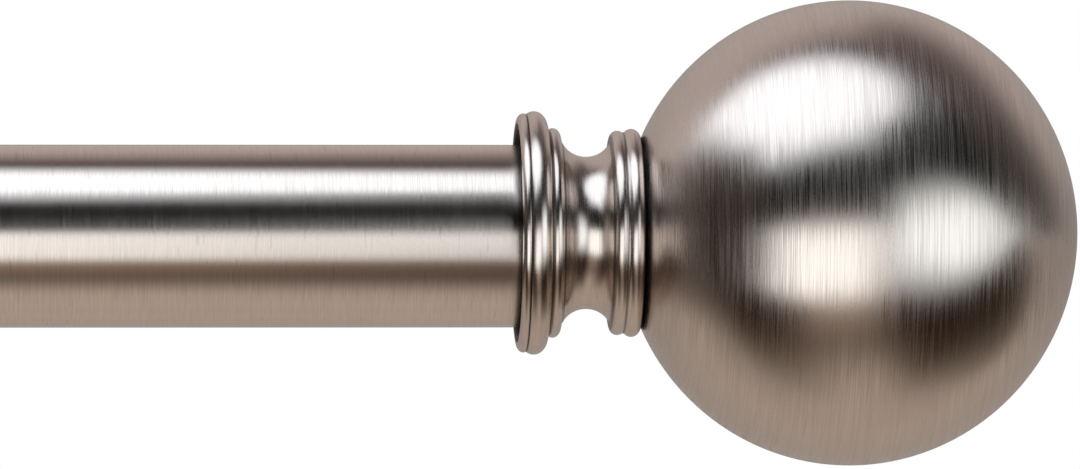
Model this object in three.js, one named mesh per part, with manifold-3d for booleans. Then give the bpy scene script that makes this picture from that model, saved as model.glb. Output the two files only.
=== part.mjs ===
// A telescoping curtain rod with two ball finials, held in front of a wall by two brackets.
//
// Frame, in millimetres: the origin is on the wall plane, midway between the brackets and level
// with the rod. +X runs along the rod to the right, +Y goes into the wall and +Z is up.

import * as THREE from "three";
import { mergeVertices } from "three/addons/utils/BufferGeometryUtils.js";
import Module from "manifold-3d";

const wasm = await Module();
wasm.setup();

// ---------------------------------------------------------------- driving dimensions

const TUBE_R = 12.7; // the outer tube is 25.4 mm across
const TUBE_WALL = 0.9;
const INNER_R = 11.1; // the inner tube is 22.2 mm across
const INNER_WALL = 0.8;
const OUTER_LENGTH = 400;
const INNER_LENGTH = 380;
const RIM_X = 227.5; // where each finial starts, from the middle of the rod as it stands
const TUBE_IN_CUP = 1.9; // how far a tube end goes into a finial's cup

const BRACKET_X = 112.5; // each bracket, from the middle
const PROJECTION = 90; // from the wall to the rod's axis

const BALL_X = 46.8; // ball centre, from where the finial starts
const BALL_HALF_LENGTH = 31.8; // the ball is a little shorter along the rod than it is wide
const BALL_R = 32.4;
const BALL_WALL = 2.4;
const SEAT_X = 17.7; // the ball's flat seat against the neck
const CUP_R = 14.3;
const CUP_DEPTH = 4;
const STUD_R = 3.9;

const CRADLE_WIDTH = 16;
const CRADLE_R = 13.1; // inside the cradle: the tube and a little play
const CRADLE_WALL = 3;
const ARM_R = 5;
const SLEEVE_R = 7;
const FINIAL_RISE = 0.45; // the floating inserts let the finials sit a little above the rod's axis

const GAP = 0.3; // between pieces that touch
const LOOSE = 0.1; // round a piece that is pressed in
const ROUND = 24; // facets round the rod and its finials
const BRACKET_ROUND = 16; // facets round the turned pieces of a bracket
const SMALL_ROUND = 10; // facets round a screw or a pin
const HEXAGON = 6;

const NICKEL = { color: 0xb3a69b, roughness: 0.3, metalness: 1 };
const STEEL = { color: 0xa9abad, roughness: 0.35, metalness: 1 };
const BRASS = { color: 0xb59a5c, roughness: 0.35, metalness: 1 };
const NYLON = { color: 0xe6e3dc, roughness: 0.6, metalness: 0 };
const ANCHOR = { color: 0xb9bcc0, roughness: 0.6, metalness: 0 };

// ---------------------------------------------------------------- shapes

/** Turns a profile of [along, radius] points about the X axis, as one closed surface. */
function turned(profile, facets = ROUND) {
  const points = profile.map(([along, radius]) => new THREE.Vector2(radius, along));
  return new THREE.LatheGeometry(points, facets).rotateZ(-Math.PI / 2);
}

/** A washer, tube or ring: the profile closes on itself. */
function ring(from, to, bore, radius, facets = ROUND) {
  return turned([[from, bore], [from, radius], [to, radius], [to, bore], [from, bore]], facets);
}

/** A round bar. */
function bar(from, to, radius, facets = SMALL_ROUND) {
  return turned([[from, 0], [from, radius], [to, radius], [to, 0]], facets);
}

/** Points on an ellipse arc of a profile; angles in degrees, 0 along +X and 90 outwards. */
function arc(along, radius, halfLength, halfHeight, start, end, steps) {
  return Array.from({ length: steps + 1 }, (_, i) => {
    const angle = THREE.MathUtils.degToRad(start + ((end - start) * i) / steps);
    return [along + halfLength * Math.cos(angle), radius + halfHeight * Math.sin(angle)];
  });
}

/** The solid of a geometry, for joins and cuts. */
function solid(geometry) {
  const bare = geometry.clone();
  bare.deleteAttribute("normal");
  bare.deleteAttribute("uv");
  const merged = mergeVertices(bare, 1e-4);
  return new wasm.Manifold(
    new wasm.Mesh({
      numProp: 3,
      vertProperties: new Float32Array(merged.attributes.position.array),
      triVerts: new Uint32Array(merged.index.array),
    }),
  );
}

/** The geometry of a solid. */
function geometryOf(made) {
  const mesh = made.getMesh();
  return new THREE.BufferGeometry()
    .setAttribute("position", new THREE.BufferAttribute(mesh.vertProperties, 3))
    .setIndex(new THREE.BufferAttribute(mesh.triVerts, 1));
}

/** A geometry with others joined to it and then others cut from it. */
function worked(base, joined = [], cut = []) {
  const whole = joined.reduce((made, piece) => made.add(solid(piece)), solid(base));
  return geometryOf(cut.reduce((made, piece) => made.subtract(solid(piece)), whole));
}

/** A named mesh. */
function piece(name, geometry, finish) {
  const mesh = new THREE.Mesh(geometry, new THREE.MeshStandardMaterial(finish));
  mesh.name = name;
  return mesh;
}

/** A group that holds pieces made along +X and turns them to run towards the room, along -Y. */
function towardsRoom(...pieces) {
  const group = new THREE.Group().add(...pieces);
  group.rotation.z = -Math.PI / 2;
  return group;
}

/** A group that holds pieces made along +X and turns them to point up. */
function upwards(...pieces) {
  const group = new THREE.Group().add(...pieces);
  group.rotation.y = -Math.PI / 2;
  return group;
}

// ---------------------------------------------------------------- rod

const OUTER_RIGHT = RIM_X + TUBE_IN_CUP;
const OUTER_LEFT = OUTER_RIGHT - OUTER_LENGTH;
const OUTER_BORE = TUBE_R - TUBE_WALL;
const INNER_BORE = INNER_R - INNER_WALL;
const PLUG_LENGTH = 18;
const PLUG_FLANGE_END = 0.9; // the flange of an end plug stands off the tube's end
const PLUG_FLANGE_R = 12.4;
const INSERT_R = 6.1;
const INSERT_BORE = STUD_R + GAP;
const INSERT_LENGTH = 12;
const REDUCER_LENGTH = 6;

/** The mouth bush that guides the inner tube: a sleeve inside the outer tube and a lip outside. */
function mouthBush() {
  const bore = INNER_R + 0.15;
  const lip = OUTER_LEFT - 1.3;
  const shoulder = OUTER_LEFT - LOOSE;
  return turned([
    [lip, bore],
    [lip, TUBE_R - 0.5],
    [lip + 0.5, TUBE_R],
    [shoulder, TUBE_R],
    [shoulder, OUTER_BORE - LOOSE],
    [OUTER_LEFT + 14, OUTER_BORE - LOOSE],
    [OUTER_LEFT + 14, bore],
    [lip, bore],
  ]);
}

/** The glide on the hidden end of the inner tube: a spigot in the tube and a flange that slides. */
function glide() {
  const end = -OUTER_RIGHT + INNER_LENGTH;
  return turned([
    [end - 12, 7.5],
    [end - 12, INNER_BORE - LOOSE],
    [end + LOOSE, INNER_BORE - LOOSE],
    [end + LOOSE, OUTER_BORE - 0.15],
    [end + 2.4, OUTER_BORE - 0.15],
    [end + 2.4, 7.5],
    [end - 12, 7.5],
  ]);
}

/** A plug pressed into a tube end at 0, with a flange over the end and room for its insert. */
function endPlug(tubeBore) {
  const bore = INSERT_R + FINIAL_RISE + GAP / 2;
  const leadIn = 2;
  return turned([
    [-PLUG_LENGTH, bore],
    [-PLUG_LENGTH, tubeBore - leadIn / 2],
    [-PLUG_LENGTH + leadIn, tubeBore - LOOSE],
    [LOOSE, tubeBore - LOOSE],
    [LOOSE, PLUG_FLANGE_R],
    [PLUG_FLANGE_END, PLUG_FLANGE_R],
    [PLUG_FLANGE_END, bore],
    [-PLUG_LENGTH, bore],
  ]);
}

/** The threaded insert that floats in a plug, level with the finial's stud. */
function insert() {
  const mouth = PLUG_FLANGE_END - LOOSE;
  return ring(-INSERT_LENGTH, mouth, INSERT_BORE, INSERT_R, SMALL_ROUND).translate(0, 0, FINIAL_RISE);
}

/** The ring that brings the inner tube's end up to the outer tube's size inside the finial's cup. */
function reducerRing() {
  const bore = INNER_R + LOOSE;
  const chamfer = 0.6;
  return turned([
    [-REDUCER_LENGTH, bore],
    [-REDUCER_LENGTH, TUBE_R - chamfer],
    [-REDUCER_LENGTH + chamfer, TUBE_R],
    [0, TUBE_R],
    [0, bore],
    [-REDUCER_LENGTH, bore],
  ]);
}

/** The two tubes and what is fitted in their ends. */
function rod() {
  const outer = new THREE.Group().add(
    piece("outer_tube", ring(OUTER_LEFT, OUTER_RIGHT, OUTER_BORE, TUBE_R), NICKEL),
    piece("mouth_bush", mouthBush(), NYLON),
  );
  const rightEnd = new THREE.Group().add(
    piece("right_end_plug", endPlug(OUTER_BORE), NYLON),
    piece("right_thread_insert", insert(), BRASS),
  );
  rightEnd.position.x = OUTER_RIGHT;

  const innerEnd = -OUTER_RIGHT + INNER_LENGTH;
  const inner = new THREE.Group().add(
    piece("inner_tube", ring(-OUTER_RIGHT, innerEnd, INNER_BORE, INNER_R), NICKEL),
    piece("inner_tube_glide", glide(), NYLON),
  );
  const leftEnd = new THREE.Group().add(
    piece("left_end_plug", endPlug(INNER_BORE), NYLON),
    piece("left_thread_insert", insert(), BRASS),
    piece("left_reducer_ring", reducerRing(), NICKEL),
  );
  leftEnd.position.x = -OUTER_RIGHT;
  leftEnd.rotation.z = Math.PI;
  return [outer, rightEnd, inner, leftEnd];
}

// ---------------------------------------------------------------- finial

const LIP_X = 0.45; // the cup's lip
const NECK_END = SEAT_X - GAP;
const NUT_LENGTH = 4;
const NUT_CORNER_R = 7.4;
const NUT_POCKET_R = 7.8;
const NUT_POCKET_END = CUP_DEPTH + NUT_LENGTH + 0.6;
const STUD_IN_TUBE = 11; // how far the stud screws into the tube's insert
const STUD_IN_BALL = 12;
const FINIAL_WASHER_R = 11.5;

/** The turned neck: a cup for the tube, beads, a cove, two more beads and a bore for the stud. */
function neck() {
  const lip = arc(LIP_X + 0.9, 15.55, 0.9, 1.1, 180, 75, 2);
  const mainBead = arc(2.8, 14.88, 1.82, 2.05, 120, 0, 4);
  const smallBead = arc(5.4, 13.38, 1.05, 1.22, 120, -15, 2);
  const cove = arc(10.08, 14.14, 3.7, 3.55, 208, 332, 5);
  const fourthBead = arc(14.4, 13.2, 1.05, 1.04, 175, 50, 2);
  const fifthBead = arc(16.35, 13.2, 1.3, 1.28, 140, 40, 3);
  return turned([
    [LIP_X + 0.35, CUP_R],
    ...lip,
    ...mainBead,
    ...smallBead,
    ...cove,
    ...fourthBead,
    ...fifthBead,
    [NECK_END, 13.5],
    [NECK_END, STUD_R + GAP],
    [NUT_POCKET_END, STUD_R + GAP],
    [NUT_POCKET_END, NUT_POCKET_R],
    [CUP_DEPTH, NUT_POCKET_R],
    [CUP_DEPTH, CUP_R],
    [LIP_X + 0.35, CUP_R],
  ]);
}

/** Half of the ball's outline, drawn in by an inset, from its far end to a flat across it. */
function ballOutline(inset, flatX, steps) {
  const halfLength = BALL_HALF_LENGTH - inset;
  const flatAngle = 180 - THREE.MathUtils.radToDeg(Math.acos((BALL_X - flatX) / halfLength));
  const outline = arc(BALL_X, 0, halfLength, BALL_R - inset, 0, flatAngle, steps);
  outline[0][1] = 0;
  return outline;
}

/** The hollow ball, open only where the stud enters. */
function ball() {
  const innerSeat = SEAT_X + BALL_WALL;
  const hole = STUD_R + 2 * GAP;
  return turned([
    ...ballOutline(BALL_WALL, innerSeat, 5),
    [innerSeat, hole],
    [SEAT_X, hole],
    ...ballOutline(0, SEAT_X, 12).reverse(),
  ]);
}

/** The threaded boss that is fixed inside the ball, behind its seat. */
function ballBoss() {
  const from = SEAT_X + BALL_WALL + GAP;
  const bore = STUD_R + GAP;
  const flangeEnd = from + 2;
  const to = from + 12;
  return turned(
    [
      [from, bore],
      [from, 10],
      [flangeEnd, 10],
      [flangeEnd, 7.5],
      [to, 7.5],
      [to, bore],
      [from, bore],
    ],
    SMALL_ROUND,
  );
}

/** The stud, from inside the tube's insert to the far end of the ball's boss. */
function stud() {
  const from = TUBE_IN_CUP + PLUG_FLANGE_END - STUD_IN_TUBE;
  const to = SEAT_X + STUD_IN_BALL;
  const chamfer = 0.8;
  return turned(
    [
      [from, 0],
      [from, STUD_R - chamfer],
      [from + chamfer, STUD_R],
      [to - chamfer, STUD_R],
      [to, STUD_R - chamfer],
      [to, 0],
    ],
    SMALL_ROUND,
  );
}

/** The nut that pulls the ball against the neck. */
function nut() {
  const from = CUP_DEPTH + GAP;
  return worked(
    bar(from, from + NUT_LENGTH, NUT_CORNER_R, HEXAGON),
    [],
    [bar(from - 1, from + NUT_LENGTH + 1, STUD_R + GAP)],
  );
}

/** One finial with its rim at 0 and its ball along +X. */
function finial(side) {
  const washer = ring(CUP_DEPTH - 1, CUP_DEPTH - GAP, STUD_R + 2 * GAP, FINIAL_WASHER_R, SMALL_ROUND);
  return new THREE.Group().add(
    piece(`${side}_finial_neck`, neck(), NICKEL),
    piece(`${side}_finial_ball`, ball(), NICKEL),
    piece(`${side}_ball_boss`, ballBoss(), STEEL),
    piece(`${side}_finial_stud`, stud(), STEEL),
    piece(`${side}_finial_nut`, nut(), STEEL),
    piece(`${side}_finial_washer`, washer, NYLON),
  );
}

// ---------------------------------------------------------------- bracket

const PLATE_R = 24;
const PLATE_THICK = 3;
const COLLAR_R = 10.5; // the plate's collar holds the sleeve
const COLLAR_END = 9;
const COLLAR_BORE = SLEEVE_R + LOOSE;
const RELIEF_FROM_R = 12; // the plate's back is relieved over the wall anchors
const RELIEF_TO_R = 22.7;
const RELIEF_DEPTH = 0.5;

const SCREW_CIRCLE_R = 18;
const SCREW_ANGLES = { top: 0, lower_right: 120, lower_left: 240 }; // degrees, clockwise from the top
const SCREW_R = 1.9;
const SCREW_TIP = -30; // in the wall
const SCREW_POINT = 4;
const SCREW_HOLE_R = 2.3;
const SCREW_HEAD_R = 4.3;
const SCREW_HEAD_LENGTH = 2.2;
const SCREW_SINK_R = 4.7;
const ANCHOR_END = -28;
const ANCHOR_R = 3.3;
const ANCHOR_TIP_R = 2.6;

const COVER_BORE = SLEEVE_R + 0.35;
const COVER_END = 15.3;
const COVER_INSIDE_R = 26.6;
const SLEEVE_START = PLATE_THICK + GAP;
const SLEEVE_END = 52;
const SLEEVE_BORE = ARM_R + GAP;
const LOCK_BOSS_R = 9.4;
const LOCK_BOSS_FROM = 43;
const LOCK_AT = 47.7; // the arm's lock screw, from the wall

const CRADLE_OUTER_R = CRADLE_R + CRADLE_WALL;
const CRADLE_BACK = PROJECTION - CRADLE_OUTER_R; // the cradle's outer face
const SEAT_R = 8.5;
const SEAT_THICK = 1.5; // a flat seat on the cradle's back meets the arm
const BACK_TOP = 15; // the cradle's high side is to the wall
const FRONT_TOP = 7;
const BOSS_R = 5.5;
const BOSS_BOTTOM = 21;

const ARM_BACK = 16;
const ARM_FRONT = CRADLE_BACK - SEAT_THICK - GAP;
const ARM_COLLAR_R = 8.5;
const ARM_COLLAR_LENGTH = 5;
const BOLT_R = 2.4;
const BOLT_LENGTH = 12; // in the arm
const BOLT_HEAD_R = 4.4;
const BOLT_SINK_R = 4.9;
const BOLT_FACE = 2.3; // the face of the bolt's head, from the cradle's outer face
const BOLT_HOLE_R = BOLT_R + GAP;

const CLAMP_SCREW = { shankR: 2.3, shankLength: 9, headR: 7.5, headLength: 6 };
const CLAMP_PAD = { radius: 2, thick: 1.4, finish: NYLON };
const LOCK_SCREW = { shankR: 1.9, shankLength: 5, headR: 6, headLength: 5 };
const LOCK_PAD = { radius: 1.7, thick: 1.2, finish: BRASS };
const SCREW_PLAY = 0.3; // round the shank of a thumbscrew

/** Puts a geometry that runs along +X on the plate's screw circle, at an angle from the top. */
function onScrewCircle(geometry, degrees) {
  const angle = THREE.MathUtils.degToRad(degrees);
  return geometry.translate(0, SCREW_CIRCLE_R * Math.sin(angle), SCREW_CIRCLE_R * Math.cos(angle));
}

/** The cutter for a countersunk screw: a hole up to the sink, then a cone out to the face. */
function countersink(from, sink, face, holeR, faceR) {
  const clear = face + 2;
  return turned(
    [
      [from, 0],
      [from, holeR],
      [sink, holeR],
      [face, faceR],
      [clear, faceR],
      [clear, 0],
    ],
    SMALL_ROUND,
  );
}

/** The wall plate: a disc with countersunk holes and a collar for the sleeve. */
function wallPlate() {
  const disc = turned(
    [
      [0, 0],
      [0, RELIEF_FROM_R],
      [RELIEF_DEPTH, RELIEF_FROM_R],
      [RELIEF_DEPTH, RELIEF_TO_R],
      [0, RELIEF_TO_R],
      [0, PLATE_R],
      [PLATE_THICK, PLATE_R],
      [PLATE_THICK, COLLAR_R],
      [COLLAR_END, COLLAR_R],
      [COLLAR_END, COLLAR_BORE],
      [PLATE_THICK, COLLAR_BORE],
      [PLATE_THICK, 0],
    ],
    BRACKET_ROUND,
  );
  const sink = PLATE_THICK - (SCREW_SINK_R - SCREW_HOLE_R);
  const holes = Object.values(SCREW_ANGLES).map((degrees) =>
    onScrewCircle(countersink(-1, sink, PLATE_THICK, SCREW_HOLE_R, SCREW_SINK_R), degrees),
  );
  return worked(disc, [], holes);
}

/** A countersunk wall screw; its tip is in the wall. */
function wallScrew() {
  const top = PLATE_THICK - LOOSE;
  return turned(
    [
      [SCREW_TIP, 0],
      [SCREW_TIP + SCREW_POINT, SCREW_R],
      [top - SCREW_HEAD_LENGTH, SCREW_R],
      [top, SCREW_HEAD_R],
      [top, 0],
    ],
    SMALL_ROUND,
  );
}

/** The plug that grips the screw inside the wall. */
function wallAnchor() {
  const bore = SCREW_R + GAP;
  return turned(
    [
      [ANCHOR_END, bore],
      [ANCHOR_END, ANCHOR_TIP_R],
      [ANCHOR_END + 4, ANCHOR_R],
      [-GAP, ANCHOR_R],
      [-GAP, bore],
      [ANCHOR_END, bore],
    ],
    SMALL_ROUND,
  );
}

/** The cover that hides the plate: a beaded rim, a long cove and a beaded mouth round the sleeve. */
function cover() {
  const mouthBack = COVER_END - 4.1;
  const rimBead = arc(2.2, 28.4, 1.9, 1.9, 175, 5, 4);
  const cove = arc(13.4, 27.4, 8.2, 15, 184, 260, 5);
  const mouthBead = arc(COVER_END - 1.3, 11.9, 1.3, 1.4, 130, 0, 3);
  const innerCove = arc(12.6, 27.4, 9, 16.4, 262, 190, 3);
  return turned(
    [
      [GAP, COVER_INSIDE_R],
      ...rimBead,
      ...cove,
      ...mouthBead,
      [COVER_END, COVER_BORE],
      [mouthBack, COVER_BORE],
      [mouthBack, 11.4],
      ...innerCove,
      [GAP, COVER_INSIDE_R],
    ],
    BRACKET_ROUND,
  );
}

/** The fixed sleeve of the arm, with a boss at its mouth for the lock screw. */
function sleeve() {
  const bossStep = arc(LOCK_BOSS_FROM + 1.1, SLEEVE_R + 0.9, 1, 1, 180, 90, 2);
  const bossEnd = arc(SLEEVE_END - 1, LOCK_BOSS_R - 1, 1, 1, 90, 0, 2);
  const tube = turned(
    [
      [SLEEVE_START, SLEEVE_BORE],
      [SLEEVE_START, SLEEVE_R],
      [LOCK_BOSS_FROM, SLEEVE_R],
      ...bossStep,
      [LOCK_BOSS_FROM + 2.2, LOCK_BOSS_R],
      ...bossEnd,
      [SLEEVE_END, SLEEVE_BORE],
      [SLEEVE_START, SLEEVE_BORE],
    ],
    BRACKET_ROUND,
  );
  const lockHole = bar(-LOCK_BOSS_R - 2, -ARM_R + 2, LOCK_SCREW.shankR + SCREW_PLAY);
  return worked(tube, [], [lockHole.rotateY(-Math.PI / 2).translate(LOCK_AT, 0, 0)]);
}

/** The sliding bar of the arm, with a collar against the cradle and a bore for its bolt. */
function armBar() {
  const chamfer = 0.6;
  const collarStep = arc(ARM_FRONT - 2.2, ARM_COLLAR_R - 1.6, 1.6, 1.6, 180, 90, 2);
  const boreEnd = ARM_FRONT - BOLT_LENGTH - 2;
  return turned(
    [
      [ARM_BACK, 0],
      [ARM_BACK, ARM_R - chamfer],
      [ARM_BACK + chamfer, ARM_R],
      [ARM_FRONT - ARM_COLLAR_LENGTH, ARM_R],
      ...collarStep,
      [ARM_FRONT - chamfer, ARM_COLLAR_R],
      [ARM_FRONT, ARM_COLLAR_R - chamfer],
      [ARM_FRONT, BOLT_HOLE_R],
      [boreEnd, BOLT_HOLE_R],
      [boreEnd, 0],
    ],
    BRACKET_ROUND,
  );
}

/** The cradle's U, as an outline in its own plane: x towards the room, y up. */
function cradleOutline() {
  const middle = CRADLE_R + CRADLE_WALL / 2;
  const u = new THREE.Shape();
  u.moveTo(-CRADLE_OUTER_R, BACK_TOP);
  u.lineTo(-CRADLE_OUTER_R, 0);
  u.absarc(0, 0, CRADLE_OUTER_R, Math.PI, 2 * Math.PI, false);
  u.lineTo(CRADLE_OUTER_R, FRONT_TOP);
  u.absarc(middle, FRONT_TOP, CRADLE_WALL / 2, 0, Math.PI, false);
  u.lineTo(CRADLE_R, 0);
  u.absarc(0, 0, CRADLE_R, 2 * Math.PI, Math.PI, true);
  u.lineTo(-CRADLE_R, BACK_TOP);
  u.absarc(-middle, BACK_TOP, CRADLE_WALL / 2, 0, Math.PI, false);
  return u;
}

/** The cradle that the tube lies in, made about the tube's axis: x towards the room, z up. */
function cradle() {
  const extrusion = { depth: CRADLE_WIDTH, bevelEnabled: false, curveSegments: 10 };
  const band = new THREE.ExtrudeGeometry(cradleOutline(), extrusion)
    .translate(0, 0, -CRADLE_WIDTH / 2)
    .rotateX(Math.PI / 2);
  const outer = -CRADLE_OUTER_R;
  const face = outer + BOLT_FACE + GAP;
  const sink = face - (BOLT_SINK_R - BOLT_HOLE_R);
  const seat = bar(outer - SEAT_THICK, outer + 1, SEAT_R);
  const boss = bar(-BOSS_BOTTOM, -CRADLE_R - 1, BOSS_R).rotateY(-Math.PI / 2);
  const boltHole = countersink(outer - SEAT_THICK - 1, sink, face, BOLT_HOLE_R, BOLT_SINK_R);
  const screwHoleR = CLAMP_SCREW.shankR + SCREW_PLAY;
  const screwHole = bar(-BOSS_BOTTOM - 1, -CRADLE_R + 1, screwHoleR).rotateY(-Math.PI / 2);
  return worked(band, [seat, boss], [boltHole, screwHole]);
}

/** The countersunk bolt that holds the cradle to the arm. */
function cradleBolt() {
  const tip = ARM_FRONT - BOLT_LENGTH;
  const face = CRADLE_BACK + BOLT_FACE;
  const headLength = BOLT_HEAD_R - BOLT_R;
  return turned(
    [
      [tip, 0],
      [tip, BOLT_R],
      [face - headLength, BOLT_R],
      [face, BOLT_HEAD_R],
      [face, 0],
    ],
    SMALL_ROUND,
  );
}

/** A thumbscrew with its tip at 0 and its head below, along -X. */
function thumbscrew({ shankR, shankLength, headR, headLength }) {
  const top = -shankLength;
  const bottom = top - headLength;
  const edge = 0.8;
  const neckR = shankR + 1.2;
  const tip = 0.4;
  return turned(
    [
      [bottom, 0],
      [bottom, headR - 1],
      [bottom + edge, headR],
      [top - edge, headR],
      [top, headR - 1],
      [top, neckR],
      [top + 1.2, neckR],
      [top + 1.2, shankR],
      [-tip, shankR],
      [0, shankR - tip],
      [0, 0],
    ],
    SMALL_ROUND,
  );
}

/** A pad just below a round bar, and the thumbscrew that presses it up. */
function pressed(name, barR, screw, pad) {
  const padTop = -barR - GAP;
  const padBottom = padTop - pad.thick;
  const screwPiece = piece(`${name}_screw`, thumbscrew(screw), NICKEL);
  screwPiece.position.x = padBottom - GAP;
  const padPiece = piece(`${name}_pad`, bar(padBottom, padTop, pad.radius), pad.finish);
  return upwards(screwPiece, padPiece);
}

/** One bracket with the middle of its wall plate at 0. */
function bracket(side) {
  const screws = Object.entries(SCREW_ANGLES).flatMap(([at, degrees]) => [
    piece(`${side}_wall_screw_${at}`, onScrewCircle(wallScrew(), degrees), STEEL),
    piece(`${side}_wall_anchor_${at}`, onScrewCircle(wallAnchor(), degrees), ANCHOR),
  ]);
  const cup = piece(`${side}_cradle`, cradle(), NICKEL);
  cup.position.x = PROJECTION;
  const clamp = pressed(`${side}_clamp`, TUBE_R, CLAMP_SCREW, CLAMP_PAD);
  clamp.position.x = PROJECTION;
  const lock = pressed(`${side}_lock`, ARM_R, LOCK_SCREW, LOCK_PAD);
  lock.position.x = LOCK_AT;
  return towardsRoom(
    piece(`${side}_wall_plate`, wallPlate(), STEEL),
    ...screws,
    piece(`${side}_wall_cover`, cover(), NICKEL),
    piece(`${side}_arm_sleeve`, sleeve(), NICKEL),
    piece(`${side}_arm_bar`, armBar(), NICKEL),
    piece(`${side}_cradle_bolt`, cradleBolt(), STEEL),
    cup,
    clamp,
    lock,
  );
}

// ---------------------------------------------------------------- assembly

function assembly() {
  const whole = new THREE.Group();

  const tubes = new THREE.Group().add(...rod());
  tubes.position.y = -PROJECTION;

  const rightFinial = finial("right");
  rightFinial.position.set(RIM_X, -PROJECTION, FINIAL_RISE);

  const leftFinial = finial("left");
  leftFinial.position.set(-RIM_X, -PROJECTION, FINIAL_RISE);
  leftFinial.rotation.z = Math.PI;

  const rightBracket = bracket("right");
  rightBracket.position.x = BRACKET_X;
  const leftBracket = bracket("left");
  leftBracket.position.x = -BRACKET_X;

  return whole.add(tubes, rightFinial, leftFinial, rightBracket, leftBracket);
}

export default assembly();
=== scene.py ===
"""A telescoping curtain rod with ball finials and two cradle brackets, in brushed nickel."""

import math

import bmesh
import bpy
from mathutils import Matrix, Vector


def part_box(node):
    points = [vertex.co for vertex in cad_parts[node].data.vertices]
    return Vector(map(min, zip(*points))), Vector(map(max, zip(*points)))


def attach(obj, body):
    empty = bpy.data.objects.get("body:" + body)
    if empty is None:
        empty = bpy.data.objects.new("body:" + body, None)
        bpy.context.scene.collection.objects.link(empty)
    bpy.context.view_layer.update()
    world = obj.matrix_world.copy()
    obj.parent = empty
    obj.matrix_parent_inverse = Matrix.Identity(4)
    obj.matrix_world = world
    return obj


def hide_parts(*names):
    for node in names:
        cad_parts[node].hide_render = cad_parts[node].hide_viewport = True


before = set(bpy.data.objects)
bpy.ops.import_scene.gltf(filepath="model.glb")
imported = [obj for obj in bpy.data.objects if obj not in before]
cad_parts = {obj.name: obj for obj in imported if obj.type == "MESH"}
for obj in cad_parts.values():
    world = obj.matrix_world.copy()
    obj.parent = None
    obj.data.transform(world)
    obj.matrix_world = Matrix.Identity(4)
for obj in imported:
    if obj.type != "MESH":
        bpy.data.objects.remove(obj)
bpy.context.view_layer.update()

# ---------------------------------------------------------------- sizes, in millimetres

MM = 0.001
TINY = 1e-6
SIDES = {"right": 1, "left": -1}

rod_low, rod_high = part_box("outer_tube")
inner_low, inner_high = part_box("inner_tube")
neck_low, neck_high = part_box("right_finial_neck")
cradle_low, cradle_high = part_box("right_cradle")

ROD_Y = (rod_low.y + rod_high.y) / 2 / MM
FINIAL_Z = (neck_low.z + neck_high.z) / 2 / MM
LIP_X = 0.45  # where the cup's lip starts, on the finial's own scale
RIM_X = neck_low.x / MM - LIP_X  # where the finial's own scale starts
BRACKET_X = (cradle_low.x + cradle_high.x) / 2 / MM
PROJECTION = -ROD_Y  # from the wall to the rod's axis

TUBE_R = 12.7
TUBE_BORE = 11.8
INNER_R = 11.1
INNER_BORE = 10.3
OUTER_LEFT = rod_low.x / MM
OUTER_RIGHT = rod_high.x / MM
INNER_LEFT = inner_low.x / MM
INNER_RIGHT = inner_high.x / MM
GAP = 0.1  # between pieces that sit in each other

BALL_X = 46.8
BALL_HALF_LENGTH = 31.8
BALL_R = 32.39  # kept just inside the box of the faceted ball
BALL_WALL = 2.4
SEAT_X = 17.7  # where the ball's shell starts
CUP_R = 14.3
CUP_DEPTH = 4
NUT_POCKET_R = 7.8
NUT_POCKET_END = 8.6
NECK_END = 17.4
STUD_R = 3.9
STUD_BORE = STUD_R + 0.3  # in the pieces that the stud is screwed into
STUD_HOLE = STUD_R + 0.6  # in the pieces that it passes through

SLEEVE_R = 7
ARM_R = 5
LOCK_AT = 47.7  # from the wall to the lock screw's axis

LARGE = 160  # segments round a large turned piece
MEDIUM = 96
SMALL = 48
HEXAGON = 6

# ---------------------------------------------------------------- meshes

EASE_LIMIT = 0.45  # the most of a profile's side that one rounded corner takes


def towards(direction, x, y, z):
    """Places a piece made along +X, in millimetres: X turned to a direction, origin at x, y, z."""
    along = Vector(direction)
    up = "Y" if abs(along.z) > 0.5 else "Z"
    turn = along.to_track_quat("X", up).to_matrix().to_4x4()
    return Matrix.Scale(MM, 4) @ Matrix.Translation((x, y, z)) @ turn


ALONG_ROD = towards((1, 0, 0), 0, ROD_Y, 0)


def shade(made, sharp_degrees=32):
    """Makes the faces smooth, and the edges over an angle sharp."""
    for polygon in made.data.polygons:
        polygon.use_smooth = True
    made.data.set_sharp_from_angle(angle=math.radians(sharp_degrees))


def finished(name, mesh_data):
    """Writes a bmesh to a new object in the scene."""
    bmesh.ops.recalc_face_normals(mesh_data, faces=mesh_data.faces)
    mesh = bpy.data.meshes.new(name)
    mesh_data.to_mesh(mesh)
    mesh_data.free()
    made = bpy.data.objects.new(name, mesh)
    bpy.context.scene.collection.objects.link(made)
    shade(made)
    return made


def arc(along, radius, half_length, half_height, start, end, steps=12):
    """Points on an ellipse arc of a profile; angles in degrees, 0 along +X and 90 outwards."""
    points = []
    for i in range(steps + 1):
        angle = math.radians(start + (end - start) * i / steps)
        points.append((along + half_length * math.cos(angle),
                       radius + half_height * math.sin(angle)))
    return points


def round_arc(along, radius, size, start, end, steps):
    """The same on a circle."""
    return arc(along, radius, size, size, start, end, steps)


def straight(start, end, radius, steps):
    """Evenly spaced points at one radius, for a stretch that a thread is cut into."""
    return [(start + (end - start) * i / steps, radius) for i in range(steps + 1)]


def rod_profile(start, end, radius):
    """The profile of a plain round bar."""
    return [(start, 0), (start, radius), (end, radius), (end, 0)]


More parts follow.
